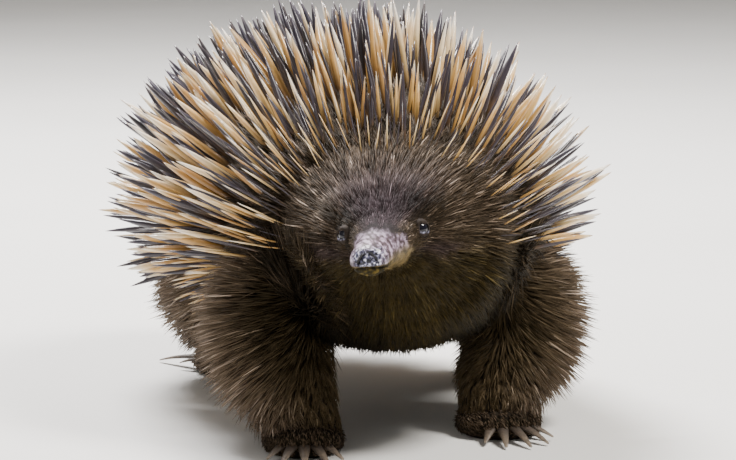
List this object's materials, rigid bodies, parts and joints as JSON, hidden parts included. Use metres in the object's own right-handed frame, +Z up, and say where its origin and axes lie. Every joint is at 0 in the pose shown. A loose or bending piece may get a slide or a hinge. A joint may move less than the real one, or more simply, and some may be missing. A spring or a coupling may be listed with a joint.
{
  "type": "short-beaked echidna",
  "caption": "Short-beaked echidna standing on four feet, head turned a little aside, back covered in long spines, for display on a floor or base.",
  "frame": {"origin": "on the floor, under the middle of the outline seen from above", "axes": "+Z up; the animal faces -Y, with its tail towards +Y and its right side towards -X"},
  "size_m": [0.2469, 0.4226, 0.2077],
  "materials": {
    "spiny_back": "satin horn spines, cream tips and dark bases",
    "fur": "coarse dark brown hair",
    "snout_skin": "bare damp grey-pink skin",
    "eye": "wet gloss black",
    "claw": "dull dark horn"
  },
  "bodies": {
    "root": {"snout": "snout_skin", "head": "fur", "torso": "spiny_back", "tail": "spiny_back", "eye_right": "eye", "eye_left": "eye", "leg_front_right": "fur", "paw_front_right": "fur", "claw_front_right_1": "claw", "claw_front_right_2": "claw", "claw_front_right_3": "claw", "claw_front_right_4": "claw", "claw_front_right_5": "claw", "leg_front_left": "fur", "paw_front_left": "fur", "claw_front_left_1": "claw", "claw_front_left_2": "claw", "claw_front_left_3": "claw", "claw_front_left_4": "claw", "claw_front_left_5": "claw", "leg_hind_right": "fur", "paw_hind_right": "fur", "claw_hind_right_1": "claw", "claw_hind_right_2": "claw", "claw_hind_right_3": "claw", "claw_hind_right_4": "claw", "claw_hind_right_5": "claw", "leg_hind_left": "fur", "paw_hind_left": "fur", "claw_hind_left_1": "claw", "claw_hind_left_2": "claw", "claw_hind_left_3": "claw", "claw_hind_left_4": "claw", "claw_hind_left_5": "claw"}
  },
  "joints": []
}
